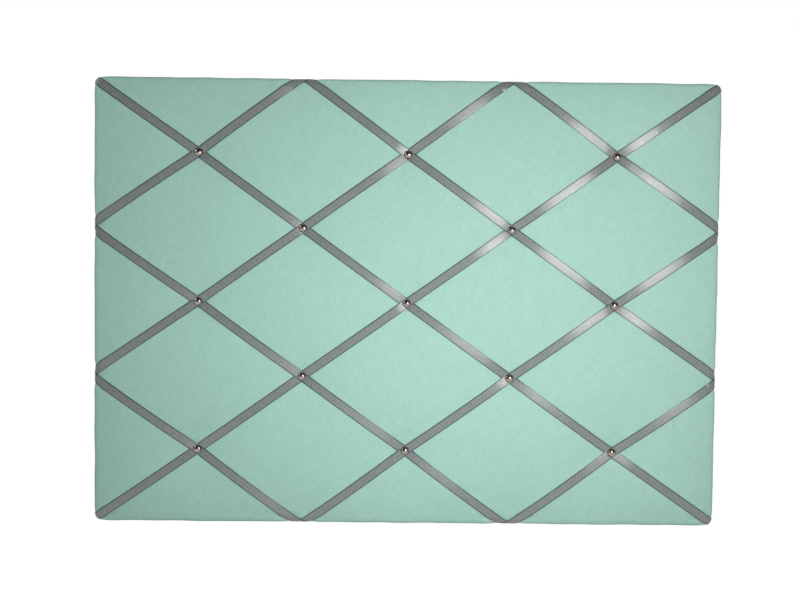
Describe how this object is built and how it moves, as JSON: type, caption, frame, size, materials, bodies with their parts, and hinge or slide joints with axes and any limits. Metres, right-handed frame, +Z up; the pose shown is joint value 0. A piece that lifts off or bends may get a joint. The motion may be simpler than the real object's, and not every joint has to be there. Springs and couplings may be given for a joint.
{
  "type": "french memo board",
  "caption": "Padded, cloth-covered wall board with crossed satin ribbons held by domed studs, for tucking in notes and photos; ring hangers on the lined back.",
  "frame": {"origin": "centre of the flat back of the lining, the face that lies towards the wall", "axes": "+X along the width, to the right as seen from the front; +Y out of the back, towards the wall; +Z up"},
  "size_m": [0.6098, 0.0287, 0.4346],
  "materials": {
    "fibreboard": "matte",
    "wadding": "matte",
    "cover_cloth": "matte",
    "ribbon_satin": "satin",
    "stud_metal": "polished",
    "lining_calico": "matte",
    "hanger_steel": "satin"
  },
  "bodies": {
    "board": {"backing_board": "fibreboard", "wadding": "wadding", "cover_cloth": "cover_cloth", "ribbon_fall_1": "ribbon_satin", "ribbon_fall_2": "ribbon_satin", "ribbon_fall_3": "ribbon_satin", "ribbon_fall_4": "ribbon_satin", "ribbon_fall_5": "ribbon_satin", "ribbon_rise_1": "ribbon_satin", "ribbon_rise_2": "ribbon_satin", "ribbon_rise_3": "ribbon_satin", "ribbon_rise_4": "ribbon_satin", "ribbon_rise_5": "ribbon_satin", "stud_01": "stud_metal", "stud_02": "stud_metal", "stud_03": "stud_metal", "stud_04": "stud_metal", "stud_05": "stud_metal", "stud_06": "stud_metal", "stud_07": "stud_metal", "stud_08": "stud_metal", "stud_09": "stud_metal", "stud_10": "stud_metal", "stud_11": "stud_metal", "stud_12": "stud_metal", "stud_13": "stud_metal", "back_lining": "lining_calico", "hanger_strap_left": "hanger_steel", "hanger_screw_left": "hanger_steel", "hanger_strap_right": "hanger_steel", "hanger_screw_right": "hanger_steel"},
    "left_ring": {"d_ring_left": "hanger_steel"},
    "right_ring": {"d_ring_right": "hanger_steel"}
  },
  "joints": [
    {"name": "left_ring_swing", "type": "hinge", "parent": "board", "child": "left_ring", "pos_m": [-0.2, 0.0024, 0.185], "axis": [-1, 0, 0], "range_deg": [0, 165]},
    {"name": "right_ring_swing", "type": "hinge", "parent": "board", "child": "right_ring", "pos_m": [0.2, 0.0024, 0.185], "axis": [-1, 0, 0], "range_deg": [0, 165]}
  ]
}
